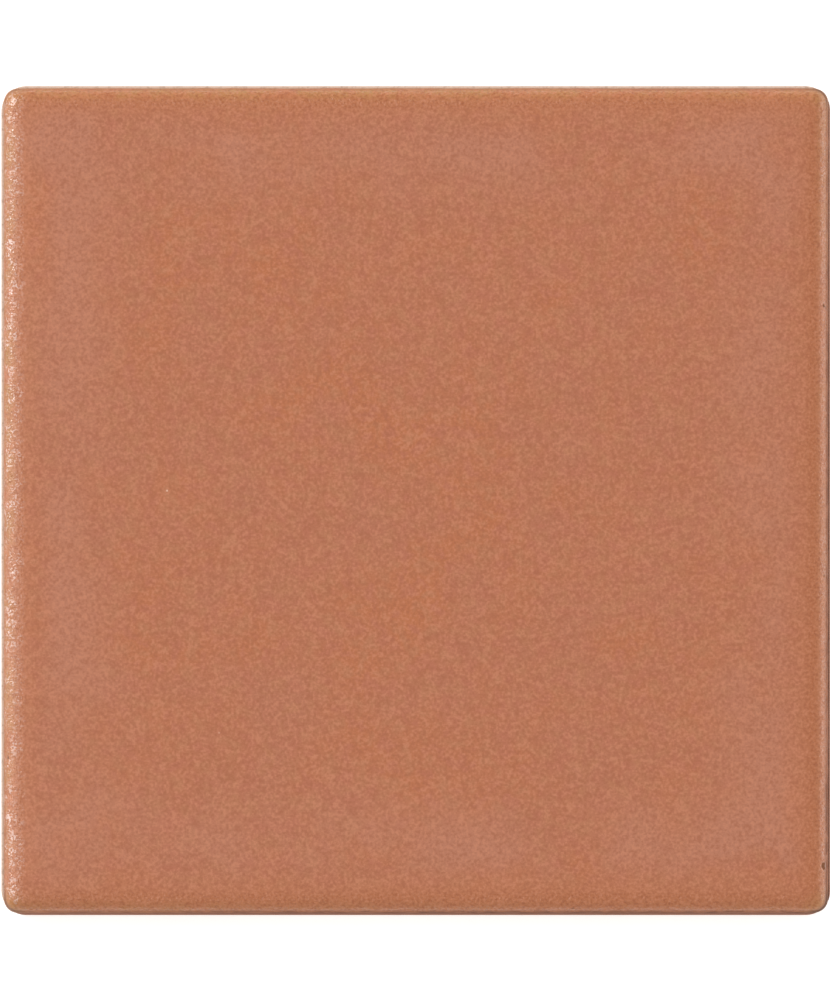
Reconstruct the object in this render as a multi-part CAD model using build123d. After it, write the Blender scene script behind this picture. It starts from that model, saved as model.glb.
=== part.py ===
# Dust-pressed square wall tile, glazed on its face, in millimetres.
# It lies face up: +Z is up through the thickness, X and Y run along the sides,
# and the origin is the middle of the back, on the plane that the back's ribs reach.
# Body and glaze are fired together as one piece, so the tile is one solid.
import math
import os

from build123d import *

# Outline
SIDE = 100.0  # across the spacer ledges, from side to side
THICKNESS = 7.0  # from the ribs of the back to the face
SIDE_DRAFT = 1.5  # degrees that the wall leans in towards the face, to leave the die

# Face
EDGE_ROLL = 1.4  # radius at which the face rolls over into the wall
CORNER_EASE = 0.2  # what the corner's radius has beyond the roll, so that the roll turns it

# Spacer ledge: a low step along each side, which sets the joint to the next tile
LEDGE_HEIGHT = 3.0  # from the back
LEDGE_PROUD = 0.25  # beyond the foot of the wall
LEDGE_CORNER = 3.0  # radius that lets the ledge die into the wall before the corner

# Back
BACK_ARRIS = 0.4  # bevel round the back's outer edge
RIM_WIDTH = 5.0  # flat margin outside the keys
POCKETS_PER_SIDE = 8
RIB_WIDTH = 2.0  # between neighbouring pockets, at the back's plane
KEY_DEPTH = 0.8  # of the pockets that the adhesive fills
KEY_DRAFT = 30.0  # degrees of the pockets' walls
POCKET_CORNER = 1.0  # radius at the back's plane
POCKET_FLOOR_ROLL = 0.35  # radius between a pocket's floor and its walls

# Worked out from the sizes above
wall_foot = SIDE - 2 * LEDGE_PROUD
wall_lean = THICKNESS * math.tan(math.radians(SIDE_DRAFT))
face_corner = EDGE_ROLL + CORNER_EASE
foot_corner = face_corner + wall_lean
pocket_pitch = (SIDE - 2 * RIM_WIDTH + RIB_WIDTH) / POCKETS_PER_SIDE
pocket_side = pocket_pitch - RIB_WIDTH


def drafted_body():
    """The tile's block: drafted walls, a rolled edge round the face, a bevel round the back."""
    outline = RectangleRounded(wall_foot, wall_foot, foot_corner)
    block = extrude(outline, amount=THICKNESS, taper=SIDE_DRAFT)
    face_edges = block.faces().sort_by(Axis.Z)[-1].edges()
    block = fillet(face_edges, EDGE_ROLL)
    return bevelled_back(block)


def spacer_ledges():
    """The steps along the four sides, as one low slab whose corners stay inside the block's."""
    slab = extrude(RectangleRounded(SIDE, SIDE, LEDGE_CORNER), amount=LEDGE_HEIGHT)
    return bevelled_back(slab)


def bevelled_back(solid):
    """The same solid with the outer edge of its back bevelled."""
    back_edges = solid.faces().sort_by(Axis.Z)[0].edges()
    return chamfer(back_edges, BACK_ARRIS)


def key_pocket():
    """One shallow pocket of the keyed back, narrowing from the back's plane to its floor."""
    mouth = RectangleRounded(pocket_side, pocket_side, POCKET_CORNER)
    pocket = extrude(mouth, amount=KEY_DEPTH, taper=KEY_DRAFT)
    floor_edges = pocket.faces().sort_by(Axis.Z)[-1].edges()
    return fillet(floor_edges, POCKET_FLOOR_ROLL)


def square_tile():
    """The whole tile: block and ledges in one, with the grid of pockets pressed into the back."""
    tile = drafted_body() + spacer_ledges()
    grid = GridLocations(pocket_pitch, pocket_pitch, POCKETS_PER_SIDE, POCKETS_PER_SIDE)
    pocket = key_pocket()
    tile -= [place * pocket for place in grid]
    tile.label = "square_tile"
    return tile


os.makedirs("parts", exist_ok=True)
export_step(square_tile(), "parts/square_tile.step")
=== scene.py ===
# %% [markdown]
# # A glazed wall tile, seen from straight above
#
# The object is one dust-pressed wall tile, 100 mm square and 7 mm thick, that lies face up.
# A satin terracotta glaze covers its face, rolls over the edge and ends on the wall in a ragged
# bead. Below the bead the bare fired body shows: a thin spacer ledge along each side, a small
# bevel, and a back with a grid of shallow pockets that the adhesive keys into.
#
# Everything is one closed mesh, because the body and the glaze are fired together. The mesh has
# two finishes, the glaze and the bare body, and both are made of nodes alone.

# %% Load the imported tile
import math

import bmesh
import bpy
from mathutils import Matrix, Vector, noise


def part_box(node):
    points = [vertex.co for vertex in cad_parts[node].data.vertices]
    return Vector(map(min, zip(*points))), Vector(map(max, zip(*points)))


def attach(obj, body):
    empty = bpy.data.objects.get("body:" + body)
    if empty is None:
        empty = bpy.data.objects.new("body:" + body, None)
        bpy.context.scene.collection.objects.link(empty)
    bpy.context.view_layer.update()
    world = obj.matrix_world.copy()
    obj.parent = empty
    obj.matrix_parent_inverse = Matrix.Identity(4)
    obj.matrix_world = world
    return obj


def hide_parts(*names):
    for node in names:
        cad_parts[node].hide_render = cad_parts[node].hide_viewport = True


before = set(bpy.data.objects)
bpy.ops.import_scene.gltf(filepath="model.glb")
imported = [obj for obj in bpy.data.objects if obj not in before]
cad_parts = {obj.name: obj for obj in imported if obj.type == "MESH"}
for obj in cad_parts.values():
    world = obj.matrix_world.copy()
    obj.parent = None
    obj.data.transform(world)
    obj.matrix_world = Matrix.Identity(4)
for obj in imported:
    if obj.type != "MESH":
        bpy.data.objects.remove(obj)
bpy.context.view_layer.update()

tile_low, tile_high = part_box("square_tile")
print("packed tile, in metres:", tuple(tile_low), tuple(tile_high))

# %% [markdown]
# ## The sizes
#
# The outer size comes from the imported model, so this script can't drift away from it. The small
# sizes that the box can't tell, such as the roll of the edge, are named here once. The script
# thinks in millimetres, and turns them into metres only where a point goes into the mesh.

# %% Sizes in millimetres
MM = 0.001
HALF = tile_high.x / MM
THICKNESS = tile_high.z / MM

DRAFT = math.radians(1.5)  # the wall leans in by this much towards the face
EDGE_ROLL = 1.4  # radius of the edge between face and wall
FACE_CORNER = 1.6  # radius of the wall's corner at the height of the face
FOOT_CORNER = FACE_CORNER + THICKNESS * math.tan(DRAFT)  # and at the back

LEDGE_HEIGHT = 3.0
LEDGE_PROUD = 0.25  # beyond the foot of the wall
LEDGE_CORNER = 3.0  # radius of the corners of the ledges' own outline
BACK_ARRIS = 0.4  # bevel round the back

wall_foot = HALF - LEDGE_PROUD
corner_centre = wall_foot - FOOT_CORNER
print("wall foot at", round(wall_foot, 3), "mm, corners turn about", round(corner_centre, 3), "mm")


def wall_reach(height):
    """How far the wall stands beyond the centre of its corners, at that height."""
    return FOOT_CORNER - height * math.tan(DRAFT)


# %% [markdown]
# ## How the mesh is laid out
#
# A real tile is pressed from powder in a square die, so its shape is a square swept through its
# thickness. A bevelled cube would give that outline with very few points, but the soft slope near
# the edge, the waves of the glaze and the ragged bead all need points of their own.
#
# So the face is a regular grid, which waves evenly, and everything outside it is a stack of
# rings. All rings share the same columns: straight ones that carry on the lines of the grid, and
# a small fan at each corner. A ring is then only a reach and a height for every column.

# %% Points and faces
SIDE_STEPS = 216  # grid cells along a side of the face
CORNER_STEPS = 8  # columns that turn one corner
GLAZE = 0  # the order of the two finishes on the mesh
BODY = 1

FAR_UP = -9.0  # for points well inside the glaze: millimetres below its end

points = []
faces = []
finishes = []
below_glaze = []


def add_point(x, y, z, below=FAR_UP):
    """One point of the mesh in millimetres, and how far it lies below the end of the glaze."""
    points.append((x * MM, y * MM, z * MM))
    below_glaze.append(below)
    return len(points) - 1


def rounded_columns(centre, side_steps, corner_steps):
    """Columns round a rounded square: a foot point on the inner square, and a direction outwards."""
    columns = []
    for quarter in range(4):
        turn = Matrix.Rotation(quarter * math.pi / 2, 2)
        for step in range(side_steps):
            along = centre * (2 * step / side_steps - 1)
            columns.append((turn @ Vector((along, -centre)), turn @ Vector((0, -1))))
        for step in range(corner_steps):
            angle = math.pi / 2 * (step / corner_steps - 1)
            outward = Vector((math.cos(angle), math.sin(angle)))
            columns.append((turn @ Vector((centre, -centre)), turn @ outward))
    return columns


def join_rings(inner, outer, finish):
    """Faces between two rings. Where two columns share a foot point, the face is a triangle."""
    for here in range(len(inner)):
        after = (here + 1) % len(inner)
        corners = [inner[here], outer[here], outer[after], inner[after]]
        faces.append(list(dict.fromkeys(corners)))
        finishes.append(finish)


columns = rounded_columns(corner_centre, SIDE_STEPS, CORNER_STEPS)
print("columns round the tile:", len(columns))

# %% [markdown]
# ## The surface of the glaze
#
# Glaze melts into a skin about a tenth of a millimetre thick. It is never flat: it heaves in
# waves a few millimetres long, and near the edge it thins and slopes away before the roll. Both
# are tiny, but a low light shows them. Each is a small function that gives a shift in millimetres,
# so the face and the rings can use the same ones and meet without a seam.

# %% Waves and slope of the glaze
SKIN_CLEARANCE = 0.02  # lowers the glaze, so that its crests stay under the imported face
LONG_WAVE = (6.5, 0.012)  # length and height of a wave
SHORT_WAVE = (1.5, 0.004)
SLUMP_DROP = 0.14  # the long soft slope towards the outline
SLUMP_LENGTH = 3.0
SHOULDER_DROP = 0.34  # the steeper shoulder just before the roll
SHOULDER_MIDDLE = 1.4
SHOULDER_SOFTNESS = 0.45


def ripple(point, length, start=0.0):
    """Smooth noise of about -1 to 1, with humps that length apart."""
    return noise.noise((point + Vector((start, -start, 0.5 * start))) / length)


def swell(point):
    """Height of the glaze's waves."""
    long_length, long_height = LONG_WAVE
    short_length, short_height = SHORT_WAVE
    long_wave = long_height * ripple(point, long_length)
    return long_wave + short_height * ripple(point, short_length, start=40.0)


def sunk(inside):
    """How far the glaze has sunk at that distance in from one side."""
    shoulder = SHOULDER_DROP / (1.0 + math.exp((inside - SHOULDER_MIDDLE) / SHOULDER_SOFTNESS))
    return shoulder + SLUMP_DROP * math.exp(-inside / SLUMP_LENGTH)


def slump(x, y):
    """How far the glaze has sunk near the two nearest sides, joined so that no crease shows."""
    outline = corner_centre + wall_reach(THICKNESS)
    return math.hypot(sunk(outline - abs(x)), sunk(outline - abs(y)))


# %% The face
face_grid = []
for row in range(SIDE_STEPS + 1):
    line = []
    y = corner_centre * (2 * row / SIDE_STEPS - 1)
    for step in range(SIDE_STEPS + 1):
        x = corner_centre * (2 * step / SIDE_STEPS - 1)
        lift = swell(Vector((x, y, THICKNESS))) - SKIN_CLEARANCE - slump(x, y)
        line.append(add_point(x, y, THICKNESS + lift))
    face_grid.append(line)

for row in range(SIDE_STEPS):
    for step in range(SIDE_STEPS):
        low, high = face_grid[row], face_grid[row + 1]
        faces.append([low[step], low[step + 1], high[step + 1], high[step]])
        finishes.append(GLAZE)


def grid_point(foot):
    """The point of the face's grid at a column's foot."""
    scale = SIDE_STEPS / (2 * corner_centre)
    row = round((foot.y + corner_centre) * scale)
    step = round((foot.x + corner_centre) * scale)
    return face_grid[row][step]


face_rim = [grid_point(foot) for foot, outward in columns]
print("points on the face:", len(points))

# %% [markdown]
# ## The rolled edge
#
# The die leaves the edge sharp, and the wet glaze rounds it. On the real tile the roll is what
# catches the light, so it gets more rings than anything else. It is an arc that starts level and
# ends along the leaning wall. Small lumps break its shine into clusters, and in a few places the
# rim has been knocked: a nick there takes a little off the glaze.

# %% The roll
ROLL_STEPS = 9
RIM_LUMPS = (1.2, 0.035)  # length and height of the lumps on the roll
RIM_WANDER = (4.0, 0.03)  # the outline itself wanders this little
RIM_BIAS = 0.5  # shifts lumps and wander inwards, by this share of their height
SQUARE_ON = 0.999  # a column faces a side when it points this much towards it
NICKS = (  # the side, the place along it, then length and depth
    ("+x", -44.0, 0.50, 0.16),
    ("+x", 23.5, 0.26, 0.10),
    ("+x", -9.0, 0.24, 0.09),
    ("-x", -31.0, 0.26, 0.08),
    ("-y", 19.0, 0.24, 0.08),
)
NICK_SHOWS = 0.02  # a dent that is shallower isn't counted

roll_height = THICKNESS - EDGE_ROLL
roll_centre = wall_reach(roll_height) - EDGE_ROLL / math.cos(DRAFT)
roll_end = math.pi / 2 - DRAFT


def nick_depth(foot, outward):
    """How much of the rim a nick has taken off on this column."""
    deepest = 0.0
    for side, place, length, depth in NICKS:
        axis = "xy".index(side[1])
        facing = outward[axis] * (1 if side[0] == "+" else -1)
        if facing > SQUARE_ON:
            away = (foot[1 - axis] - place) / length
            deepest = max(deepest, depth * math.exp(-away**2))
    return deepest


nick_depths = [nick_depth(foot, outward) for foot, outward in columns]
print("columns in a nick:", sum(1 for depth in nick_depths if depth > NICK_SHOWS))


def glaze_ring(reach, height, lean):
    """A ring of glaze. Its waves push along a direction that leans out by that angle."""
    ring = []
    lump_length, lump_height = RIM_LUMPS
    wander_length, wander_width = RIM_WANDER
    steep = math.sin(lean)
    for (foot, outward), nick in zip(columns, nick_depths):
        flat = (foot + outward * reach).to_3d()
        flat.z = height
        lump = ripple(flat, lump_length, start=31.0) - RIM_BIAS
        wave = swell(flat) + lump_height * math.sin(2 * lean) * lump
        wander = wander_width * (ripple(flat, wander_length, start=5.0) - RIM_BIAS) * steep
        spot = foot + outward * (reach + wave * steep + wander - nick * steep**2)
        drop = slump(spot.x, spot.y) + SKIN_CLEARANCE + nick * steep
        ring.append(add_point(spot.x, spot.y, height + wave * math.cos(lean) - drop))
    return ring


glaze_rings = []
for step in range(ROLL_STEPS + 1):
    lean = roll_end * step / ROLL_STEPS
    reach = roll_centre + EDGE_ROLL * math.sin(lean)
    height = roll_height + EDGE_ROLL * math.cos(lean)
    glaze_rings.append(glaze_ring(reach, height, lean))

wall_tops = [points[corner][2] / MM for corner in glaze_rings[-1]]
print("rings on the roll:", len(glaze_rings), "it ends at", round(min(wall_tops), 2), "mm or higher")

# %% [markdown]
# ## The bead where the glaze stops
#
# The glaze runs down the wall and stops a little above the ledge, in a line that wanders. Surface
# tension gathers it there into a fat bead with a small step under it. The bead is built from a
# short profile that every column places at its own height. Here and there a drip comes all the
# way down to the ledge.

# %% The foot line of the glaze
FOOT_MIDDLE = 3.5  # usual height of the end of the glaze
FOOT_WANDER = 0.35  # about how far the line strays up and down
FOOT_WAVE = 5.0  # length of its waves
FOOT_JAG = (1.7, 0.6)  # length of the jags on them, and their share
FOOT_LOWEST = LEDGE_HEIGHT + 0.09
FOOT_HIGHEST = 4.2
DRIP_LENGTH = 7.0
DRIP_START = 0.30  # noise above this is a drip
DRIP_REACH = 4.0  # how far a drip runs for each 1 of noise above that


def foot_line(foot, outward):
    """Height at which the glaze ends on this column."""
    spot = (foot + outward * wall_reach(FOOT_MIDDLE)).to_3d()
    jag_length, jag_share = FOOT_JAG
    wander = ripple(spot, FOOT_WAVE, start=11.0) + jag_share * ripple(spot, jag_length, start=23.0)
    drip = max(0.0, ripple(spot, DRIP_LENGTH, start=57.0) - DRIP_START) * DRIP_REACH
    height = FOOT_MIDDLE + FOOT_WANDER * wander - drip
    return min(max(height, FOOT_LOWEST), FOOT_HIGHEST)


foot_heights = [foot_line(foot, outward) for foot, outward in columns]
print("glaze ends between", round(min(foot_heights), 2), "and", round(max(foot_heights), 2), "mm")

# %% The bead
BEAD = 0.07  # how far the bead stands out
BARE_STEP = 0.05  # the bare body lies this far behind the glaze
BEAD_PROFILE = (  # height above the end of the glaze, and share of the bead
    (0.62, 0.1),
    (0.34, 0.5),
    (0.16, 0.9),
    (0.07, 1.0),
    (0.015, 0.6),
)
FATNESS = 0.75  # how fat the bead usually is, against its full size
FAT_LUMPS = (1.9, 0.6)  # length and strength of its lumps
FAT_KNOTS = (0.9, 0.3)  # and of the finer knots
WALL_RINGS = ((0.33, 0.6), (0.67, 0.0))  # share of the way to the bead, and of a nick's depth
WALL_SKIN = 0.05  # what the glaze adds to the wall there, as a share of the bead


def wall_ring(heights, offsets):
    """A ring on the wall, with a height and an offset from the wall for every column."""
    ring = []
    for (foot, outward), height, offset in zip(columns, heights, offsets):
        spot = foot + outward * (wall_reach(height) + offset)
        ring.append(add_point(spot.x, spot.y, height, foot_heights[len(ring)] - height))
    return ring


def bead_fatness(foot, outward):
    """How fat the bead is on this column, against its full size."""
    spot = (foot + outward).to_3d()
    lump_length, lump = FAT_LUMPS
    knot_length, knot = FAT_KNOTS
    lumpy = FATNESS + lump * ripple(spot, lump_length, start=71.0)
    return lumpy + knot * ripple(spot, knot_length, start=83.0)


fatness = [bead_fatness(foot, outward) for foot, outward in columns]
bead_top = BEAD_PROFILE[0][0]
for share, nick_share in WALL_RINGS:
    heights = [top + share * (low + bead_top - top) for top, low in zip(wall_tops, foot_heights)]
    dents = [nick_share * nick for nick in nick_depths]
    glaze_rings.append(wall_ring(heights, [BEAD * WALL_SKIN - dent for dent in dents]))
for above, share in BEAD_PROFILE:
    heights = [low + above for low in foot_heights]
    glaze_rings.append(wall_ring(heights, [BEAD * share * fat for fat in fatness]))

join_rings(face_rim, glaze_rings[0], GLAZE)
for inner, outer in zip(glaze_rings, glaze_rings[1:]):
    join_rings(inner, outer, GLAZE)
print("glaze rings in all:", len(glaze_rings))

# %% [markdown]
# ## The bare wall, the ledge and the bevel
#
# Under the bead the body is bare. The spacer ledge is a low step of a quarter of a millimetre
# that keeps two tiles a joint apart. Its own corners are rounder than the tile's, so it dies into
# the wall before each corner. That falls out of one rule: the outline is whichever reaches
# further, the wall or the ledge. Neighbouring rings always differ in height, so no face
# collapses where the ledge has gone.

# %% The ledge's outline
ALONG_AXIS = 1e-6  # a column whose other part is smaller than this points along x or y
WEAR_DEPTH = 0.006
WEAR_LENGTH = 0.8


def ledge_reach(foot, outward):
    """How far the ledge stands beyond the column's foot, along the column."""
    inner = HALF - LEDGE_CORNER
    side = Vector((abs(foot.x), abs(foot.y)))
    ahead = Vector((abs(outward.x), abs(outward.y)))
    on_side = min(ahead) < ALONG_AXIS and min(side) < inner
    if on_side:
        return HALF - corner_centre
    start = side - Vector((inner, inner))
    forward = start.dot(ahead)
    return -forward + math.sqrt(forward**2 - start.length_squared + LEDGE_CORNER**2)


ledge_reaches = [ledge_reach(foot, outward) for foot, outward in columns]


def body_ring(height, share=1.0, inset=0.0, worn=1.0):
    """A ring of bare body. The share is of the ledge's width, and worn is a share of the wear."""
    ring = []
    for (foot, outward), ledge in zip(columns, ledge_reaches):
        wall = wall_reach(height) - BARE_STEP
        reach = wall + share * max(0.0, ledge - wall) - inset
        spot = foot + outward * reach
        rough = ripple(spot.to_3d(), WEAR_LENGTH, start=height) - 1.0
        wear = worn * WEAR_DEPTH * rough * min(1.0, share + inset)
        spot = foot + outward * (reach + wear)
        ring.append(add_point(spot.x, spot.y, height, foot_heights[len(ring)] - height))
    return ring


# %% From the bead down to the back
LEDGE_PROFILE = (  # height above the ledge, and share of its width
    (0.05, 0.0),
    (0.0, 0.12),
    (-0.012, 0.6),
    (-0.03, 0.9),
    (-0.1, 1.0),
)
LEDGE_RINGS = (2.1, 1.2)  # heights of the plain rings on the ledge's upright side
BEVEL_PROFILE = ((1.03, 0.0), (0.5, 0.5), (0.0, 1.0))  # height and inset, in shares of the bevel

bare_rings = [wall_ring(foot_heights, [-BARE_STEP] * len(columns))]
halfway = [(low + LEDGE_HEIGHT + LEDGE_PROFILE[0][0]) / 2 for low in foot_heights]
bare_rings.append(wall_ring(halfway, [-BARE_STEP] * len(columns)))
for above, share in LEDGE_PROFILE:
    bare_rings.append(body_ring(LEDGE_HEIGHT + above, share))
for height in LEDGE_RINGS:
    bare_rings.append(body_ring(height))
for height_share, inset_share in BEVEL_PROFILE:
    worn = min(1.0, height_share)  # none at the back, so that its land fills without a gap
    bare_rings.append(body_ring(BACK_ARRIS * height_share, 1.0, BACK_ARRIS * inset_share, worn))

join_rings(glaze_rings[-1], bare_rings[0], BODY)
for inner, outer in zip(bare_rings, bare_rings[1:]):
    join_rings(inner, outer, BODY)
print("bare rings:", len(bare_rings))

# %% [markdown]
# ## The keyed back
#
# The back is pressed with eight rows of eight shallow pockets. Thin-bed adhesive fills them and
# holds the tile by more than its own grip. A pocket is a rounded square like the tile itself, so
# the same function lays out its columns: a worn mouth, a drafted wall, a small roll and a floor.

# %% The pockets
POCKETS_PER_SIDE = 8
RIM_WIDTH = 5.0  # land between the back's outline and the pockets
RIB_WIDTH = 2.0  # land between two pockets
POCKET_CORNER = 1.0
POCKET_STEPS = 4
POCKET_CORNER_STEPS = 4
POCKET_PROFILE = (  # height over the back, and reach beyond the centre of the pocket's corner
    (0.0, 1.04),
    (0.03, 0.99),
    (0.10, 0.945),
    (0.56, 0.675),
    (0.69, 0.58),
    (0.77, 0.43),
    (0.8, 0.24),
)

pocket_pitch = (2 * HALF - 2 * RIM_WIDTH + RIB_WIDTH) / POCKETS_PER_SIDE
pocket_half = (pocket_pitch - RIB_WIDTH) / 2
pocket_columns = rounded_columns(pocket_half - POCKET_CORNER, POCKET_STEPS, POCKET_CORNER_STEPS)


def pocket(centre):
    """One pocket of the back. Gives the ring of its mouth, which lies in the back's plane."""
    rings = []
    for height, reach in POCKET_PROFILE:
        ring = []
        for foot, outward in pocket_columns:
            spot = centre + foot + outward * reach
            ring.append(add_point(spot.x, spot.y, height, below=FOOT_MIDDLE))
        rings.append(ring)
    for outer, inner in zip(rings, rings[1:]):
        join_rings(inner, outer, BODY)
    faces.append(list(rings[-1]))
    finishes.append(BODY)
    return rings[0]


pocket_mouths = []
middle = (POCKETS_PER_SIDE - 1) / 2
for row in range(POCKETS_PER_SIDE):
    for step in range(POCKETS_PER_SIDE):
        centre = Vector(((step - middle) * pocket_pitch, (row - middle) * pocket_pitch))
        pocket_mouths.append(pocket(centre))
print("pockets:", len(pocket_mouths), "of", round(2 * pocket_half, 2), "mm")

# %% The flat land between the pockets
shape = bpy.data.meshes.new("glazed_tile")
shape.from_pydata(points, [], faces)
shape.polygons.foreach_set("material_index", finishes)
shape.attributes.new("below_glaze", "FLOAT", "POINT").data.foreach_set("value", below_glaze)

work = bmesh.new()
work.from_mesh(shape)
open_edges = [edge for edge in work.edges if len(edge.link_faces) == 1]
land = bmesh.ops.triangle_fill(work, use_beauty=True, edges=open_edges)
for part in land["geom"]:
    if isinstance(part, bmesh.types.BMFace):
        part.material_index = BODY
bmesh.ops.recalc_face_normals(work, faces=work.faces)
left_open = sum(1 for edge in work.edges if len(edge.link_faces) != 2)
triangles = sum(len(face.verts) - 2 for face in work.faces)
work.to_mesh(shape)
work.free()
print("triangles:", triangles, "edges left open:", left_open)

# %% Smooth shading, with the true corners kept sharp
SHARP_FROM = math.radians(38)
shape.shade_smooth()
shape.set_sharp_from_angle(angle=SHARP_FROM)

glazed_tile = bpy.data.objects.new("glazed_tile", shape)
bpy.context.scene.collection.objects.link(glazed_tile)
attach(glazed_tile, "root")
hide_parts("square_tile")

# %% [markdown]
# ## Building blocks for the finishes
#
# Both finishes come from the same kiln, so they share three effects: a fine grain, a slow mottle
# and scattered specks. Each is a node group with named sockets. Groups give out masks and values
# only, and the shader that uses them stays in the material, where the export can read it.

# %% Helpers for node trees
RISING = (0.0, 1.0)
FALLING = (1.0, 0.0)
MIX_SHARE, MIX_BELOW, MIX_ABOVE = 0, 6, 7  # a Mix node's inputs for colours, by their place
MIX_COLOUR = 2  # and its output for them


def feed(tree, value, socket):
    """Links a socket to the value if that is a socket too, and else sets it."""
    if isinstance(value, bpy.types.NodeSocket):
        tree.links.new(value, socket)
    else:
        socket.default_value = value


def node(tree, kind, label, **settings):
    """A new node. A setting goes to the input with its name, where _ is a space, or is a property."""
    made = tree.nodes.new(kind)
    made.label = label
    for name, value in settings.items():
        input_name = name.replace("_", " ")
        if input_name in made.inputs:
            feed(tree, value, made.inputs[input_name])
        else:
            setattr(made, name, value)
    return made


def math_node(tree, label, operation, first, second=0.0, clamp=False):
    """A Math node. Each value is a number or a socket."""
    made = node(tree, "ShaderNodeMath", label, operation=operation, use_clamp=clamp)
    feed(tree, first, made.inputs[0])
    feed(tree, second, made.inputs[1])
    return made.outputs[0]


def blend(tree, label, share, below, above):
    """Mixes two colours by a share. Each of the three is a plain value or a socket."""
    made = node(tree, "ShaderNodeMix", label, data_type="RGBA")
    feed(tree, share, made.inputs[MIX_SHARE])
    feed(tree, below, made.inputs[MIX_BELOW])
    feed(tree, above, made.inputs[MIX_ABOVE])
    return made.outputs[MIX_COLOUR]


def fade(tree, label, value, span, ends=RISING):
    """A smooth step from the first end to the second, while the value crosses the span."""
    made = node(
        tree, "ShaderNodeMapRange", label, interpolation_type="SMOOTHSTEP", Value=value,
        From_Min=span[0], From_Max=span[1], To_Min=ends[0], To_Max=ends[1],
    )
    return made.outputs["Result"]


def new_group(name, inputs, outputs):
    """An empty node group with named sockets. Gives the tree and its two end nodes."""
    tree = bpy.data.node_groups.new(name, "ShaderNodeTree")
    for label, kind, default in inputs:
        socket = tree.interface.new_socket(label, in_out="INPUT", socket_type=kind)
        if default is not None:
            socket.default_value = default
    for label, kind in outputs:
        tree.interface.new_socket(label, in_out="OUTPUT", socket_type=kind)
    return tree, tree.nodes.new("NodeGroupInput"), tree.nodes.new("NodeGroupOutput")


def use_group(tree, group, label, place, **values):
    """Places a group in a material, with its own values."""
    return node(tree, "ShaderNodeGroup", label, node_tree=group, Place=place, **values)


VECTOR = "NodeSocketVector"
NUMBER = "NodeSocketFloat"

# %% [markdown]
# ## Fine grain
#
# Close up, the glaze is full of flecks a third of a millimetre across, where crystals grew as it
# cooled, and the bare body shows its pressed granules at nearly the same size. One noise with a
# little detail gives both. The place comes in millimetres, so a size is a real size.

# %% Grain group
COARSER = 0.36  # scale of the coarse flecks, against that of the fine ones
NOISE_SPREAD = (0.3, 0.7)  # a noise seldom leaves this range, so it is spread out from there

grain_group, grain_in, grain_out = new_group(
    "fired_grain",
    [("Place", VECTOR, None), ("Size", NUMBER, 0.35), ("Coarse Share", NUMBER, 0.3)],
    [("Fleck", NUMBER), ("Height", NUMBER)],
)
grain_place = grain_in.outputs["Place"]
grain_scale = math_node(grain_group, "flecks a millimetre", "DIVIDE", 1.0, grain_in.outputs["Size"])
coarse_scale = math_node(grain_group, "nearly three times as large", "MULTIPLY", grain_scale, COARSER)
fine_noise = node(
    grain_group, "ShaderNodeTexNoise", "fine flecks",
    Vector=grain_place, Scale=grain_scale, Detail=2.0, Roughness=0.6,
)
coarse_noise = node(
    grain_group, "ShaderNodeTexNoise", "coarse flecks",
    Vector=grain_place, Scale=coarse_scale, Detail=1.0,
)
grain_mix = node(
    grain_group, "ShaderNodeMix", "both sizes", data_type="FLOAT",
    Factor=grain_in.outputs["Coarse Share"], A=fine_noise.outputs[0], B=coarse_noise.outputs[0],
)
grain_fleck = fade(grain_group, "spread", grain_mix.outputs[0], NOISE_SPREAD)
feed(grain_group, grain_fleck, grain_out.inputs["Fleck"])
feed(grain_group, grain_mix.outputs[0], grain_out.inputs["Height"])
print("group:", grain_group.name)

# %% [markdown]
# ## Slow mottle
#
# The colour also drifts over a few millimetres, where the glaze lies a little thicker or the body
# fired a little hotter. This is a soft noise, spread out to the full range from 0 to 1.

# %% Mottle group
mottle_group, mottle_in, mottle_out = new_group(
    "kiln_mottle",
    [("Place", VECTOR, None), ("Size", NUMBER, 5.0), ("Drift", NUMBER, 0.0)],
    [("Tone", NUMBER)],
)
mottle_scale = math_node(mottle_group, "patches a millimetre", "DIVIDE", 1.0, mottle_in.outputs["Size"])
mottle_noise = node(
    mottle_group, "ShaderNodeTexNoise", "patches", noise_dimensions="4D",
    Vector=mottle_in.outputs["Place"], W=mottle_in.outputs["Drift"], Scale=mottle_scale, Detail=2.0,
)
mottle_tone = fade(mottle_group, "spread", mottle_noise.outputs[0], NOISE_SPREAD)
feed(mottle_group, mottle_tone, mottle_out.inputs["Tone"])
print("group:", mottle_group.name)


def patches(tree, label, place, size, drift):
    """The mottle at a size in millimetres. Another drift gives other patches."""
    return use_group(tree, mottle_group, label, place, Size=size, Drift=drift).outputs["Tone"]


# %% [markdown]
# ## Scattered specks
#
# Pale pinpoints in the glaze and iron specks in the body are small round spots, strewn at random.
# A Voronoi texture puts one point in each cell. The spot is where the distance to that point is
# small, and a random number of the cell decides whether the spot is there at all.

# %% Speck group
SPOT_RIM = (0.5, 1.0)  # a spot fades out between these shares of its size

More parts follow.
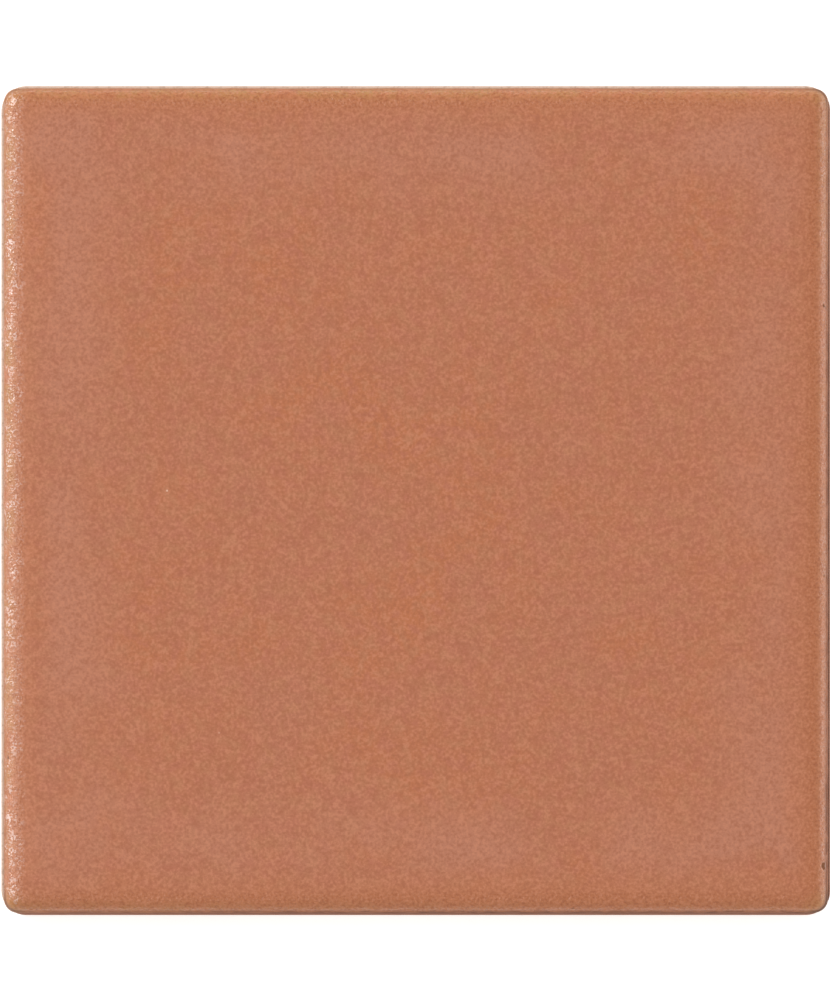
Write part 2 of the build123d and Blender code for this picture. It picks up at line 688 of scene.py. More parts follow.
speck_group, speck_in, speck_out = new_group(
    "scattered_specks",
    [("Place", VECTOR, None), ("Spacing", NUMBER, 2.0), ("Size", NUMBER, 0.2), ("Share", NUMBER, 0.1)],
    [("Speck", NUMBER)],
)
spacing = speck_in.outputs["Spacing"]
speck_scale = math_node(speck_group, "cells a millimetre", "DIVIDE", 1.0, spacing)
cells = node(
    speck_group, "ShaderNodeTexVoronoi", "one point a cell",
    Vector=speck_in.outputs["Place"], Scale=speck_scale,
)
from_point = math_node(speck_group, "distance in mm", "MULTIPLY", cells.outputs["Distance"], spacing)
nearness = math_node(speck_group, "share of the size", "DIVIDE", from_point, speck_in.outputs["Size"])
round_spot = fade(speck_group, "soft spot", nearness, SPOT_RIM, FALLING)
draw = node(speck_group, "ShaderNodeSeparateColor", "random of the cell", Color=cells.outputs["Color"])
chosen = math_node(speck_group, "is it there", "LESS_THAN", draw.outputs[0], speck_in.outputs["Share"])
speck = math_node(speck_group, "speck", "MULTIPLY", round_spot, chosen)
feed(speck_group, speck, speck_out.inputs["Speck"])
print("group:", speck_group.name)

# %% [markdown]
# ## Distance from the outline
#
# The colour of both finishes depends on how near the edge is: the glaze thins over the roll, and
# the body in the crevice under it is stained and darkened as painted shade. So a fourth group
# turns the place on the tile into millimetres inside the glaze's outline, following its rounded
# corners. It also gives the plain distances from the sides, because the halo on the face doesn't
# turn the corners.

# %% Outline group
outline_group, outline_in, outline_out = new_group(
    "inside_outline",
    [("Place", VECTOR, None), ("Corner Centre", NUMBER, corner_centre), ("Reach", NUMBER, FACE_CORNER)],
    [("Inside", NUMBER), ("From X", NUMBER), ("From Y", NUMBER)],
)
axes = node(outline_group, "ShaderNodeSeparateXYZ", "x and y", Vector=outline_in.outputs["Place"])


def past_centre(axis):
    """How far the place lies beyond the corner's centre along one axis."""
    either_side = math_node(outline_group, "either side", "ABSOLUTE", axes.outputs[axis])
    centre = outline_in.outputs["Corner Centre"]
    return math_node(outline_group, f"past it in {axis}", "SUBTRACT", either_side, centre)


past_x, past_y = past_centre("X"), past_centre("Y")
turned = node(
    outline_group, "ShaderNodeCombineXYZ", "in the corner",
    X=math_node(outline_group, "in the corner's x", "MAXIMUM", past_x, 0.0),
    Y=math_node(outline_group, "in the corner's y", "MAXIMUM", past_y, 0.0),
)
round_corner = node(
    outline_group, "ShaderNodeVectorMath", "round the corner", operation="LENGTH",
    Vector=turned.outputs[0],
)
nearest = math_node(outline_group, "nearest side", "MAXIMUM", past_x, past_y)
on_face = math_node(outline_group, "on the face", "MINIMUM", nearest, 0.0)
past_round = math_node(outline_group, "past it all round", "ADD", round_corner.outputs["Value"], on_face)
for socket, past in (("Inside", past_round), ("From X", past_x), ("From Y", past_y)):
    distance = math_node(outline_group, socket, "SUBTRACT", outline_in.outputs["Reach"], past)
    feed(outline_group, distance, outline_out.inputs[socket])
print("group:", outline_group.name)


def outline_at(height, tree, place):
    """The distances in from the wall's outline at that height."""
    reach = wall_reach(height)
    return use_group(tree, outline_group, "distances", place, Corner_Centre=corner_centre, Reach=reach)


# %% [markdown]
# ## The shaded sides
#
# The lights stand at the left and over the top, so the sides at +x and -y lie in shade. There
# the band near the rim, the burnt line and the crevice are painted darker, a painted shade, and
# the ochre on the rolls is painted stronger on the two lit sides, a painted light. One group
# turns the place into a share from 0 on the lit side to 1 on the shaded side.

# %% Shaded-side group
SHADE_AXIS = (math.sqrt(0.5), -math.sqrt(0.5), 0.0)  # towards the corner between +x and -y
SHADE_SPAN = (-1.2, 1.2)  # from lit to shaded along it, in shares of the width

shade_group, shade_in, shade_out = new_group(
    "painted_shade_side", [("Place", VECTOR, None), ("Width", NUMBER, HALF)], [("Away From Light", NUMBER)]
)
shade_direction = node(
    shade_group, "ShaderNodeVectorMath", "along the diagonal", operation="DOT_PRODUCT",
    Vector=shade_in.outputs["Place"],
)
feed(shade_group, SHADE_AXIS, shade_direction.inputs[1])
along_axis = shade_direction.outputs["Value"]
shade_ratio = math_node(shade_group, "share of the width", "DIVIDE", along_axis, shade_in.outputs["Width"])
shade_fade = fade(shade_group, "from lit to shaded", shade_ratio, SHADE_SPAN)
feed(shade_group, shade_fade, shade_out.inputs["Away From Light"])
print("group:", shade_group.name)

# %% [markdown]
# ## The satin glaze
#
# The glaze is a warm terracotta. A paler, cooler halo runs 5 to 15 mm in from the sides, and
# doubles up inside the corners. The last few millimetres turn warmer. On the shaded +x and -y
# sides a darker band is painted there, a painted shade. On the roll and above all at the corners
# the glaze is thin, and the ochre of the body shows through; it is painted stronger on the lit
# sides, a painted light. Pale spots are painted in clusters on the roll of the -x side, which
# faces the lights, and few on the +x side: painted glints. Where the glaze ends it has soaked
# into the body and fired brown, and the steep end of the roll and the corners are darkened
# further as painted shade, most on the shaded sides.

# %% Colours of the glaze
TERRACOTTA = (0.3660, 0.1140, 0.0450, 1)
ORANGE_DRIFT = (0.3880, 0.1110, 0.0310, 1)
ROSY_DRIFT = (0.3500, 0.1140, 0.0530, 1)
OLIVE_FLECK = (0.3640, 0.1270, 0.0490, 1)
PINK_FLECK = (0.3700, 0.1090, 0.0500, 1)
HALO = (0.3790, 0.1350, 0.0700, 1)
WARM_RIM = (0.4060, 0.1380, 0.0550, 1)
SHADED_RIM = (0.3720, 0.1190, 0.0450, 1)
THIN_OCHRE = (0.3680, 0.1720, 0.0490, 1)
GLINT_COLOUR = (0.7100, 0.5200, 0.4600, 1)
BURNT_END_AND_SHADE = (0.1500, 0.0400, 0.0100, 1)
CORNER_SHADE = (0.1000, 0.0350, 0.0110, 1)
PALE_FLECK = (0.4650, 0.1680, 0.0830, 1)
DARK_FLECK = (0.2980, 0.0810, 0.0270, 1)
PINPOINT = (0.7500, 0.5500, 0.4200, 1)


def new_material(name):
    """A material with its tree, its Principled shader and the place on the tile in millimetres."""
    material = bpy.data.materials.new(name)
    material.use_nodes = True
    tree = material.node_tree
    spot = node(tree, "ShaderNodeTexCoord", "place on the tile")
    scaled = node(
        tree, "ShaderNodeVectorMath", "in millimetres", operation="SCALE",
        Vector=spot.outputs["Object"], Scale=1 / MM,
    )
    return material, tree, tree.nodes["Principled BSDF"], scaled.outputs[0]


glaze, tree, glaze_shader, place = new_material("satin_glaze")
outline = outline_at(roll_height, tree, place)
inside = outline.outputs["Inside"]
from_x, from_y = outline.outputs["From X"], outline.outputs["From Y"]
# Share of painted shade, from 0 on the lit -x, +y side to 1 on the shaded +x, -y side.
shade_share = use_group(tree, shade_group, "shaded side", place, Width=HALF).outputs["Away From Light"]
glaze_axes = node(tree, "ShaderNodeSeparateXYZ", "along and across", Vector=place)

# %% Halo inside the sides
HALO_RISE = (2.5, 7.0)  # millimetres in from a side
HALO_FALL = (7.0, 17.0)


def halo_of(distance):
    """A soft band that comes and goes with the distance from a side."""
    rise = fade(tree, "halo begins", distance, HALO_RISE)
    fall = fade(tree, "halo ends", distance, HALO_FALL, FALLING)
    return math_node(tree, "halo", "MULTIPLY", rise, fall)


halo_sum = math_node(tree, "halos meet in the corners", "ADD", halo_of(from_x), halo_of(from_y))
halo_patches = patches(tree, "halo comes and goes", place, size=9.0, drift=3.0)
halo_share = math_node(tree, "halo in patches", "MULTIPLY", halo_sum, halo_patches, clamp=True)

# %% Base colour
ROSY_STRENGTH = 0.8
TINT_STRENGTH = 0.9
WARM_SPAN = (0.5, 4.5)  # millimetres in from the outline, here and in the next two
SHADED_RIM_SPAN = (1.0, 6.0)
SHADED_RIM_START = (1.0, 2.2)


def tinted(colour, grain, strength, high, low):
    """Tints a colour with two kinds of fleck, from the grain's high and low half. Each has a name."""
    high_name, high_colour = high
    low_name, low_colour = low
    high_share = fade(tree, high_name, grain.outputs["Fleck"], (0.5, 1.0), (0.0, strength))
    low_share = fade(tree, low_name, grain.outputs["Fleck"], (0.0, 0.5), (strength, 0.0))
    colour = blend(tree, high_name, high_share, colour, high_colour)
    return blend(tree, low_name, low_share, colour, low_colour)


orange = patches(tree, "orange patches", place, size=20.0, drift=0.0)
rosy = patches(tree, "rosy patches", place, size=5.5, drift=7.0)
colour = blend(tree, "more orange", orange, TERRACOTTA, ORANGE_DRIFT)
rosy_share = math_node(tree, "rosy by", "MULTIPLY", rosy, ROSY_STRENGTH)
colour = blend(tree, "rosier", rosy_share, colour, ROSY_DRIFT)
tints = use_group(tree, grain_group, "olive and pink", place, Size=0.85, Coarse_Share=0.65)
colour = tinted(colour, tints, TINT_STRENGTH, ("olive flecks", OLIVE_FLECK), ("pink flecks", PINK_FLECK))
colour = blend(tree, "halo", halo_share, colour, HALO)
warm_share = fade(tree, "warm near the side", inside, WARM_SPAN, FALLING)
colour = blend(tree, "warm rim", warm_share, colour, WARM_RIM)
# On the shaded +x and -y sides the band near the rim is painted darker: painted shade.
shaded_rim_fade = fade(tree, "darker near the side", inside, SHADED_RIM_SPAN, (0.9, 0.0))
shaded_rim_begin = fade(tree, "less again at the roll", inside, SHADED_RIM_START, (0.1, 1.0))
shaded_rim_band = math_node(tree, "band of painted shade", "MULTIPLY", shaded_rim_fade, shaded_rim_begin)
shaded_rim_share = math_node(tree, "painted shade on the shaded sides", "MULTIPLY", shaded_rim_band, shade_share)
colour = blend(tree, "painted shade at the rim", shaded_rim_share, colour, SHADED_RIM)

# %% Thin glaze on the roll and the corners
THIN_CORNER = (1.0, 5.0)  # the distances from two sides together, so it is small only in a corner
THIN_ROLL = (0.2, 1.9)  # millimetres in from the outline
OCHRE_BY_SHADE = (1.0, 0.20)  # how much of it the lit and the shaded side show

corner_sum = math_node(tree, "x and y together", "ADD", from_x, from_y)
thin_corner = fade(tree, "thin in the corner", corner_sum, THIN_CORNER, (0.8, 0.0))
thin_roll = fade(tree, "thin on the roll", inside, THIN_ROLL, FALLING)
thin_patches = patches(tree, "thin in places", place, size=2.2, drift=12.0)
# The ochre is real thin glaze; it is painted stronger on the lit sides, a painted light.
ochre_lit_side = fade(tree, "more ochre on the lit sides", shade_share, (0.0, 1.0), OCHRE_BY_SHADE)
thin_some = math_node(tree, "roll in places", "MULTIPLY", thin_roll, thin_patches)
thin_broken = math_node(tree, "more on the lit sides", "MULTIPLY", thin_some, ochre_lit_side)
thin_share = math_node(tree, "thin in all", "MAXIMUM", thin_broken, thin_corner, clamp=True)
colour = blend(tree, "ochre shows", thin_share, colour, THIN_OCHRE)

# %% Flecks, painted glints and pinpoints
FLECK_STRENGTH = 0.68
GLINT_LEFT = (1.2 - HALF, 3.4 - HALF)  # places along x, near the side that each is on
GLINT_RIGHT = (HALF - 1.5, HALF - 0.9)
SHEEN_RIGHT = (HALF - 2.0, HALF - 1.1)
GLINT_SPAN = (0.58, 0.82)  # a painted glint is where the grain is as high as this

flecks = use_group(tree, grain_group, "flecks", place, Size=0.34, Coarse_Share=0.15)
colour = tinted(colour, flecks, FLECK_STRENGTH, ("pale flecks", PALE_FLECK), ("dark flecks", DARK_FLECK))
# Pale spots in clusters on the roll, many on the -x side and few on +x, are painted glints.
painted_glints = use_group(tree, grain_group, "painted_glints", place, Size=0.27, Coarse_Share=0.25)
glint_spots = fade(tree, "painted glint spots", painted_glints.outputs["Fleck"], GLINT_SPAN, (0.0, 0.85))
glints_left = fade(tree, "painted glints on the -x side", glaze_axes.outputs["X"], GLINT_LEFT, FALLING)
glints_right = fade(tree, "fewer on the +x side", glaze_axes.outputs["X"], GLINT_RIGHT, (0.0, 0.28))
# A faint pale band on the +x rim is a painted highlight.
painted_sheen = fade(tree, "painted sheen on the +x side", glaze_axes.outputs["X"], SHEEN_RIGHT, (0.0, 0.045))
colour = blend(tree, "painted sheen", painted_sheen, colour, GLINT_COLOUR)
glint_sides = math_node(tree, "painted glints on two sides", "MAXIMUM", glints_left, glints_right)
glint_patches = patches(tree, "painted glints in clusters", place, size=1.7, drift=31.0)
glint_clusters = math_node(tree, "in clusters", "MULTIPLY", glint_spots, glint_patches)
glint_share = math_node(tree, "on those sides", "MULTIPLY", glint_clusters, glint_sides)
colour = blend(tree, "painted_glints", glint_share, colour, GLINT_COLOUR)
pins = use_group(tree, speck_group, "pinpoints", place, Spacing=6.0, Size=0.22, Share=0.05)
colour = blend(tree, "pinpoints", pins.outputs["Speck"], colour, PINPOINT)

# %% The burnt end of the glaze, and painted shade under the roll
LAST_BIT = (-0.35, -0.05)  # millimetres past the end of the glaze, so these are before it
STEEP_SHADE_SPAN = (0.0, 0.40)  # millimetres in from the outline, here and in the next
WIDER_SHADE_SPAN = (0.12, 0.50)
WIDER_RIGHT = (HALF - 3.0, HALF - 1.5)  # place along x
WIDER_LOW = (10.0, -40.0)  # place along y, so it grows towards -y
DARKER_BY_SHADE = (0.15, 0.95)  # shares of the shaded side

glaze_end = node(tree, "ShaderNodeAttribute", "mm past its end", attribute_name="below_glaze")
end_share = fade(tree, "last bit of the glaze", glaze_end.outputs["Fac"], LAST_BIT, (0.0, 0.9))
# Only the last bit of the glaze is burnt brown. The dark line where the roll turns steep is painted shade,
# wider on the lower +x side and darker on the shaded sides.
steep_shade = fade(tree, "under the roll", inside, STEEP_SHADE_SPAN, (0.90, 0.0))
wide_share = fade(tree, "wider under the roll", inside, WIDER_SHADE_SPAN, (0.90, 0.0))
wide_right = fade(tree, "on the +x side", glaze_axes.outputs["X"], WIDER_RIGHT)
wide_low = fade(tree, "towards -y", glaze_axes.outputs["Y"], WIDER_LOW)
wide_place = math_node(tree, "low on the +x side", "MULTIPLY", wide_right, wide_low)
wider_shade = math_node(tree, "wider there", "MULTIPLY", wide_share, wide_place)
shade_line = math_node(tree, "steep or wider", "MAXIMUM", steep_shade, wider_shade)
shade_line_patches = patches(tree, "shade line in patches", place, size=1.5, drift=44.0)
shade_line_uneven = fade(tree, "uneven", shade_line_patches, (0.1, 0.9), (0.55, 1.0))
shade_line_broken = math_node(tree, "uneven line", "MULTIPLY", shade_line, shade_line_uneven)
end_and_shade_line = math_node(tree, "end or steep", "MAXIMUM", end_share, shade_line_broken)
shaded_side_darker = fade(tree, "darker on the shaded sides", shade_share, DARKER_BY_SHADE, (0.36, 1.0))
burnt_and_shade = math_node(tree, "end and shade in all", "MULTIPLY", end_and_shade_line, shaded_side_darker)
colour = blend(tree, "glaze end and painted shade", burnt_and_shade, colour, BURNT_END_AND_SHADE)

# %% Painted shade round the corners
NEAR_CORNER = (1.3, 2.9)  # the distances from two sides together
AT_OUTLINE = (0.06, 0.38)  # millimetres in from the outline
DOWN_THE_WALL = (4.2, 5.4)  # heights

# A dark line at the outline round each corner is painted shade, darker on the shaded sides.
near_corner = fade(tree, "round the corner", corner_sum, NEAR_CORNER, FALLING)
at_outline = fade(tree, "at the outline", inside, AT_OUTLINE, (0.95, 0.0))
corner_shade_line = math_node(tree, "line round the corner", "MULTIPLY", near_corner, at_outline)
upper_wall = fade(tree, "less down the wall", glaze_axes.outputs["Z"], DOWN_THE_WALL, (0.25, 1.0))
corner_shade_upper = math_node(tree, "line near the roll", "MULTIPLY", corner_shade_line, upper_wall)
corner_shade_share = math_node(tree, "painted shade round the corner", "MULTIPLY", corner_shade_upper, shaded_side_darker)
colour = blend(tree, "painted shade round the corner", corner_shade_share, colour, CORNER_SHADE)

# %% Bare spots in the nicks
NICK_BARE = (0.1750, 0.0600, 0.0200, 1)
NICK_INSET = 0.46  # how far the middle of a nick lies inside the foot of the wall
NICK_HEIGHT = THICKNESS - 0.85
NICK_RAGGED = 0.15  # millimetres that the flecks take off its rim
NICK_SOLID, NICK_OUTER = 0.75, 0.95  # its rim fades between these shares of its reach

ragged = math_node(tree, "ragged by", "MULTIPLY", flecks.outputs["Fleck"], NICK_RAGGED)
bare = 0.0
for side, along, length, depth in NICKS:
    across = (wall_foot - NICK_INSET) * (1 if side[0] == "+" else -1)
    centre = (across, along) if side[1] == "x" else (along, across)
    nick_spot = node(
        tree, "ShaderNodeVectorMath", "from the nick " + side, operation="DISTANCE", Vector=place
    )
    feed(tree, (*centre, NICK_HEIGHT), nick_spot.inputs[1])
    ragged_away = math_node(tree, "ragged rim", "ADD", nick_spot.outputs["Value"], ragged)
    reach = length + depth
    nick_rim = (NICK_SOLID * reach, NICK_OUTER * reach)
    bare_here = fade(tree, "bare in the nick", ragged_away, nick_rim, FALLING)
    bare = math_node(tree, "bare in all", "MAXIMUM", bare, bare_here)
colour = blend(tree, "nicks", bare, colour, NICK_BARE)
feed(tree, colour, glaze_shader.inputs["Base Color"])

# %% Satin gloss and pebbled skin
ROUGH_LOW = 0.46
ROUGH_HIGH = 0.54
ROUGH_BURNT = 0.85
GLAZE_IOR = 1.5
GLAZE_SPECULAR = 0.42
GLOSSY_ROLL = (1.5, 3.5)  # millimetres in from the outline, here and in the next
DRY_EDGE = (0.06, 0.45)
PEBBLE_RISE = 0.00020  # metres that a height of 1 stands for
PEBBLE_SPAN = (0.8, 3.0)  # millimetres in from the outline
CALM_CORNER = (1.6, 3.4)  # the distances from two sides together

satin = fade(tree, "gloss drifts", rosy, (0.0, 1.0), (ROUGH_LOW, ROUGH_HIGH))
glossier = fade(tree, "glossier on the roll", inside, GLOSSY_ROLL, (0.38, 1.0))
satin_roll = math_node(tree, "satin with the roll", "MULTIPLY", satin, glossier)
dry_edge = fade(tree, "dry under the roll", inside, DRY_EDGE, (ROUGH_BURNT, 0.0))
dry_nick = math_node(tree, "dry in the nicks", "MULTIPLY", bare, ROUGH_BURNT)
dry = math_node(tree, "dry in all", "MAXIMUM", dry_edge, dry_nick)
rough = math_node(tree, "satin or dry", "MAXIMUM", satin_roll, dry)
feed(tree, rough, glaze_shader.inputs["Roughness"])
glaze_shader.inputs["IOR"].default_value = GLAZE_IOR
glaze_shader.inputs["Specular IOR Level"].default_value = GLAZE_SPECULAR

pebbles = use_group(tree, grain_group, "pebbles", place, Size=0.38, Coarse_Share=0.35)
pebble_height = fade(tree, "pebbles rise on the roll", inside, PEBBLE_SPAN, (1.0, 0.10))
corner_calm = fade(tree, "smoother in the corner", corner_sum, CALM_CORNER, (0.12, 1.0))
pebble_share = math_node(tree, "pebbles in all", "MULTIPLY", pebble_height, corner_calm)
height = math_node(tree, "skin", "MULTIPLY", pebbles.outputs["Height"], pebble_share)
skin = node(tree, "ShaderNodeBump", "pebbled skin", Strength=1.0, Distance=PEBBLE_RISE, Height=height)
feed(tree, skin.outputs["Normal"], glaze_shader.inputs["Normal"])
shape.materials.append(glaze)
print("glaze nodes:", len(tree.nodes))

# %% [markdown]
# ## The bare fired body
#
# Under the glaze is a buff wall-tile body: matt, a little chalky, with granules from the pressed
# powder, faint drifts of colour and a few iron specks. The die drags fine upright lines down the
# sides as it lets go of the tile, so there the grain is stretched in height. Right under the
# glaze the body is stained brown, with painted shade under the bead as well, and the crevice
# where the wall meets the ledge is darkened as painted shade with a little stain, darker on the
# shaded sides. Above the ledge line the body is painted pale, a painted highlight on the ledge's
# lit top. Along -y, and less along +x, the ledge is painted a dark glaze red, a painted shade.
# The land of the back carries a patchy pale wash, which kept the tile from sticking to the
# rollers of the kiln.

# %% Body colour, wash and iron
BUFF = (0.480, 0.318, 0.228, 1)
BUFF_PALE = (0.560, 0.395, 0.295, 1)
LEDGE_HIGHLIGHT = (0.685, 0.515, 0.410, 1)
BUFF_DARK = (0.420, 0.265, 0.185, 1)
LEDGE_SHADE = (0.440, 0.200, 0.138, 1)
IRON = (0.160, 0.075, 0.040, 1)
STAIN_AND_SHADE = (0.100, 0.035, 0.015, 1)
KILN_WASH = (0.690, 0.620, 0.550, 1)
DRIFT_STRENGTH = 0.5
LEDGE_TOP = (LEDGE_HEIGHT - 0.10, LEDGE_HEIGHT - 0.02)  # heights, here and in the next
BACK_LAND = (0.02, 0.10)

body, tree, body_shader, place = new_material("fired_body")
body_axes = node(tree, "ShaderNodeSeparateXYZ", "place by axis", Vector=place)
granules = use_group(tree, grain_group, "granules", place, Size=0.28, Coarse_Share=0.5)
firing = patches(tree, "firing drift", place, size=8.0, drift=21.0)
iron = use_group(tree, speck_group, "iron specks", place, Spacing=1.6, Size=0.16, Share=0.12)
above_ledge = fade(tree, "above the ledge", body_axes.outputs["Z"], LEDGE_TOP)
drift_share = math_node(tree, "drift by", "MULTIPLY", firing, DRIFT_STRENGTH)
colour = blend(tree, "drift", drift_share, BUFF, BUFF_PALE)
# Above the ledge line the body is painted pale: a painted highlight on the ledge's lit top.
colour = blend(tree, "painted highlight above the ledge", above_ledge, colour, LEDGE_HIGHLIGHT)
on_land = fade(tree, "on the land of the back", body_axes.outputs["Z"], BACK_LAND, FALLING)
wash_patches = patches(tree, "wash in patches", place, size=2.4, drift=52.0)
wash_left = fade(tree, "what is left", wash_patches, (0.0, 1.0), (0.28, 0.70))
wash = math_node(tree, "wash on the land", "MULTIPLY", on_land, wash_left)
colour = blend(tree, "kiln wash", wash, colour, KILN_WASH)
hollows = fade(tree, "between granules", granules.outputs["Fleck"], (0.0, 0.55), (0.62, 0.0))
colour = blend(tree, "darker between granules", hollows, colour, BUFF_DARK)
colour = blend(tree, "iron", iron.outputs["Speck"], colour, IRON)

# %% Painted shade on the ledge and in the crevice, and stain under the glaze
SHADE_FRONT = (0.6 - HALF, 1.8 - HALF)  # place along y, from the side inwards
LEDGE_RIGHT = (HALF - 1.8, HALF - 0.6)  # place along x, outwards to the side
CREVICE = (-0.12, -0.03)  # millimetres in from the wall at the ledge, so these are just outside it
WALL_ONLY = (-0.05, -0.015)  # the same measure, and it leaves out the ledge
FLASH_DEPTH = (0.0, 1.3)  # millimetres below the glaze
BODY_SPECULAR = 0.3

outline = outline_at(LEDGE_HEIGHT, tree, place)
# The same share of painted shade, for the body.
shade_share = use_group(tree, shade_group, "shaded side", place, Width=HALF).outputs["Away From Light"]
# Along -y, and less along +x, the ledge is painted a dark glaze red: painted shade.
shade_front = fade(tree, "painted shade on the -y side", body_axes.outputs["Y"], SHADE_FRONT, (0.90, 0.0))
shade_right = fade(tree, "less on the +x side", body_axes.outputs["X"], LEDGE_RIGHT, (0.0, 0.75))
ledge_shade_sides = math_node(tree, "painted shade on two sides", "MAXIMUM", shade_front, shade_right)
ledge_shade_share = math_node(tree, "painted shade on the ledge", "MULTIPLY", ledge_shade_sides, above_ledge)
colour = blend(tree, "painted shade in glaze red", ledge_shade_share, colour, LEDGE_SHADE)
# The crevice at the foot of the wall is darkened as painted shade with a little stain, wider on +x and
# darker on the shaded sides.
wider_right = fade(tree, "wider on the +x side", body_axes.outputs["X"], LEDGE_RIGHT, (0.0, 0.05))
crevice_place = math_node(tree, "place in the crevice", "ADD", outline.outputs["Inside"], wider_right)
in_crevice = fade(tree, "in the crevice", crevice_place, CREVICE, (0.0, 0.95))
crevice_side = fade(tree, "darker on the shaded sides", shade_share, DARKER_BY_SHADE, (0.30, 1.0))
crevice = math_node(tree, "crevice", "MULTIPLY", in_crevice, crevice_side)
on_shelf = math_node(tree, "on the shelf", "MULTIPLY", crevice, above_ledge)
# The brown band under the glaze is stain, and painted shade under the bead too.
from_glaze = node(tree, "ShaderNodeAttribute", "mm below the glaze", attribute_name="below_glaze")
flash_and_shade = fade(tree, "flashed and shaded under the glaze", from_glaze.outputs["Fac"], FLASH_DEPTH, (0.7, 0.0))
on_wall = fade(tree, "on the wall", outline.outputs["Inside"], WALL_ONLY)
flash_and_shade_on_wall = math_node(tree, "flashed and shaded on the wall", "MULTIPLY", flash_and_shade, on_wall)
stain_and_shade = math_node(tree, "stain_and_shade", "MAXIMUM", on_shelf, flash_and_shade_on_wall)
colour = blend(tree, "stain and painted shade", stain_and_shade, colour, STAIN_AND_SHADE)
feed(tree, colour, body_shader.inputs["Base Color"])

chalky = fade(tree, "chalky", granules.outputs["Fleck"], (0.0, 1.0), (0.82, 0.94))
feed(tree, chalky, body_shader.inputs["Roughness"])
body_shader.inputs["Specular IOR Level"].default_value = BODY_SPECULAR

# %% Pressed grain and drag lines
DRAG_STRETCH = (1.0, 1.0, 0.06)  # the grain's scale in x, y and height
SIDE_FACING = (0.2, 0.6)  # how level a surface is, from the sides to the back
PRESS_RISE = 0.00007  # metres that a height of 1 stands for

stretch = node(tree, "ShaderNodeVectorMath", "stretched upwards", operation="MULTIPLY", Vector=place)
feed(tree, DRAG_STRETCH, stretch.inputs[1])
drag = use_group(tree, grain_group, "drag lines", stretch.outputs[0], Size=0.22, Coarse_Share=0.4)
facing = node(tree, "ShaderNodeNewGeometry", "which way it faces")
facing_axes = node(
    tree, "ShaderNodeSeparateXYZ", "upright part", Vector=facing.outputs["True Normal"]
)
flatness = math_node(tree, "level or not", "ABSOLUTE", facing_axes.outputs["Z"])
relief = node(
    tree, "ShaderNodeMix", "grain or lines", data_type="FLOAT",
    Factor=fade(tree, "on the sides", flatness, SIDE_FACING, FALLING),
    A=granules.outputs["Height"], B=drag.outputs["Height"],
)
press = node(
    tree, "ShaderNodeBump", "pressed grain",
    Strength=1.0, Distance=PRESS_RISE, Height=relief.outputs[0],
)
feed(tree, press.outputs["Normal"], body_shader.inputs["Normal"])
shape.materials.append(body)
print("body nodes:", len(tree.nodes))

# %% [markdown]
# ## Floor
#
# The tile lies on a plain pale floor. It is a hair below the tile, so the two planes don't
# flicker into each other. It glows faintly, so that it stays white where the tile shades it.
# The floor belongs to the stage and not to the tile.

# %% A pale floor
FLOOR_SIZE = 8.0  # metres, as is the gap
FLOOR_GAP = 0.00003
FLOOR_COLOUR = (0.82, 0.82, 0.82, 1)
FLOOR_ROUGH = 0.9
FLOOR_GLOW = 0.44

half_floor = FLOOR_SIZE / 2
floor_height = tile_low.z - FLOOR_GAP
floor_corners = [
    (x * half_floor, y * half_floor, floor_height) for x, y in ((-1, -1), (1, -1), (1, 1), (-1, 1))
]
floor_mesh = bpy.data.meshes.new("floor")
floor_mesh.from_pydata(floor_corners, [], [(0, 1, 2, 3)])
floor = bpy.data.objects.new("floor", floor_mesh)
bpy.context.scene.collection.objects.link(floor)

paper = bpy.data.materials.new("pale_floor")
paper.use_nodes = True
paper_shader = paper.node_tree.nodes["Principled BSDF"]
paper_shader.inputs["Base Color"].default_value = FLOOR_COLOUR
paper_shader.inputs["Emission Color"].default_value = (1, 1, 1, 1)
paper_shader.inputs["Emission Strength"].default_value = FLOOR_GLOW
paper_shader.inputs["Roughness"].default_value = FLOOR_ROUGH
floor_mesh.materials.append(paper)

# %% [markdown]
# ## Light
#
# The photograph has soft light from all round, strong light from the left that makes the rolled
# edge sparkle, and a broad light over the top edge. The right and bottom edges stay darker. Area
# lights do this: their direction decides which part of the roll shines, and their size how soft
# the shine is. They stand well away, so the face is lit evenly. Two at the left are seen only in
# the gloss, and the one over the top only lights, so that shine and brightness are set apart.

# %% Lights and world
LIGHT_DISTANCE = 1.8  # metres
ROOM_COLOUR = (1.0, 0.995, 0.985, 1)
ROOM_STRENGTH = 0.87


def soft_light(name, azimuth, elevation, size, watts):
    """An area light that faces the tile. Azimuth 0 is over +X and 90 over +Y, in degrees."""
    lamp = bpy.data.lights.new(name, "AREA")
    lamp.shape = "RECTANGLE"
    lamp.size, lamp.size_y = size
    lamp.energy = watts
    holder = bpy.data.objects.new(name, lamp)
    turn, rise = math.radians(azimuth), math.radians(elevation)
    towards = Vector((math.cos(turn) * math.cos(rise), math.sin(turn) * math.cos(rise), math.sin(rise)))
    holder.location = towards * LIGHT_DISTANCE
    holder.rotation_euler = towards.to_track_quat("Z", "Y").to_euler()
    holder.visible_camera = False
    bpy.context.scene.collection.objects.link(holder)
    return holder


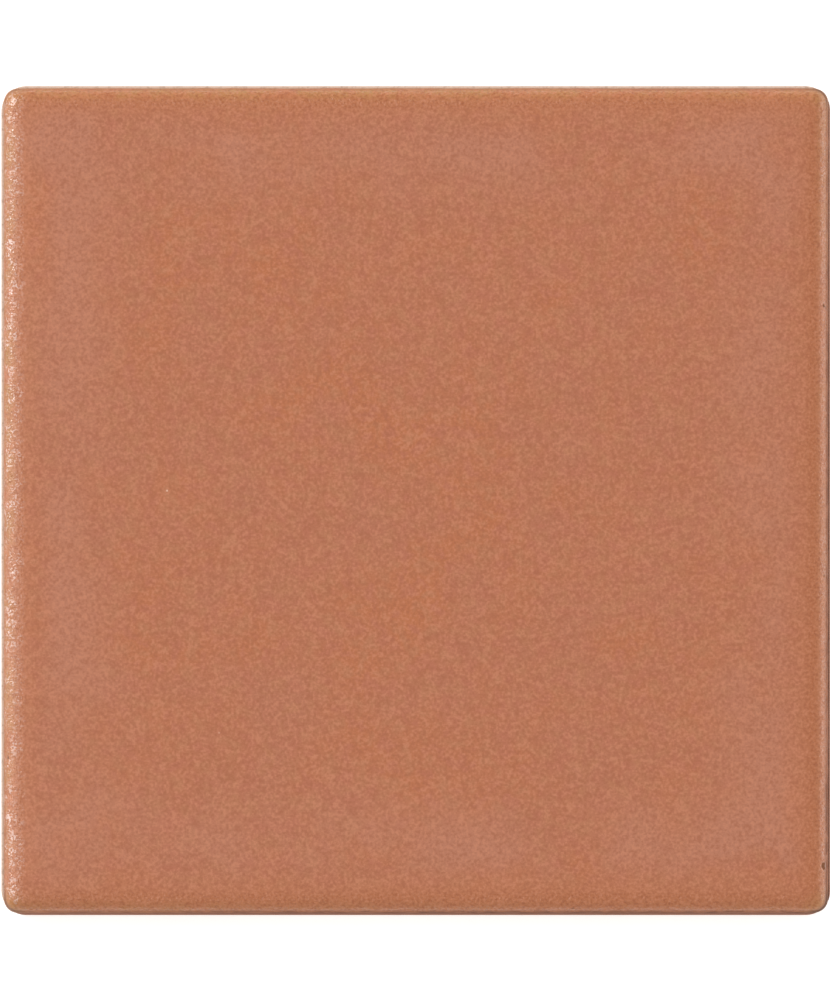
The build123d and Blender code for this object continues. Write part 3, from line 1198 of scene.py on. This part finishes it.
soft_light("low_left", azimuth=154, elevation=15, size=(0.28, 0.40), watts=15)
left_card = soft_light("left_card", azimuth=176, elevation=40, size=(1.6, 3.0), watts=36)
left_card.visible_diffuse = False
corner_glint = soft_light("corner_glint", azimuth=143, elevation=30, size=(0.42, 0.42), watts=14)
corner_glint.visible_diffuse = False
broad_top = soft_light("broad_top", azimuth=90, elevation=50, size=(2.4, 2.0), watts=10.5)
broad_top.visible_glossy = False
soft_light("weak_right", azimuth=0, elevation=6, size=(1.4, 0.38), watts=6.0)

world = bpy.data.worlds.new("soft_room")
world.use_nodes = True
room = world.node_tree.nodes["Background"]
room.inputs["Color"].default_value = ROOM_COLOUR
room.inputs["Strength"].default_value = ROOM_STRENGTH
bpy.context.scene.world = world

# %% [markdown]
# ## Camera
#
# The photograph is taken from straight above, and the tile's sides show no perspective. A very
# long lens far away does the same. Its distance follows from the scale: the tile is 829 pixels
# wide in a picture of 830 by 1000, and the sensor's width belongs to the picture's long side.

# %% A long lens over the tile
PICTURE_HEIGHT = 1000  # pixels
TILE_WIDTH_PX = 829.2  # as seen in the photograph, and so is its middle
TILE_MIDDLE_PX = (415.95, 500.6)
PICTURE_MIDDLE_PX = (415.0, 500.0)
SENSOR = 36.0  # millimetres, as is the lens
LENS = 1000.0
CLIP_END = 10.0  # metres

mm_per_pixel = 2 * HALF / TILE_WIDTH_PX
camera_data = bpy.data.cameras.new("camera")
camera_data.sensor_width = SENSOR
camera_data.lens = LENS
camera_data.clip_end = CLIP_END
camera = bpy.data.objects.new("camera", camera_data)
camera_height = LENS * PICTURE_HEIGHT * mm_per_pixel / SENSOR + LEDGE_HEIGHT
aside = (PICTURE_MIDDLE_PX[0] - TILE_MIDDLE_PX[0]) * mm_per_pixel
along = (TILE_MIDDLE_PX[1] - PICTURE_MIDDLE_PX[1]) * mm_per_pixel
camera.location = (aside * MM, along * MM, camera_height * MM)
bpy.context.scene.collection.objects.link(camera)
bpy.context.scene.camera = camera
bpy.context.scene.view_settings.view_transform = "Standard"
print("camera", round(camera_height), "mm up")
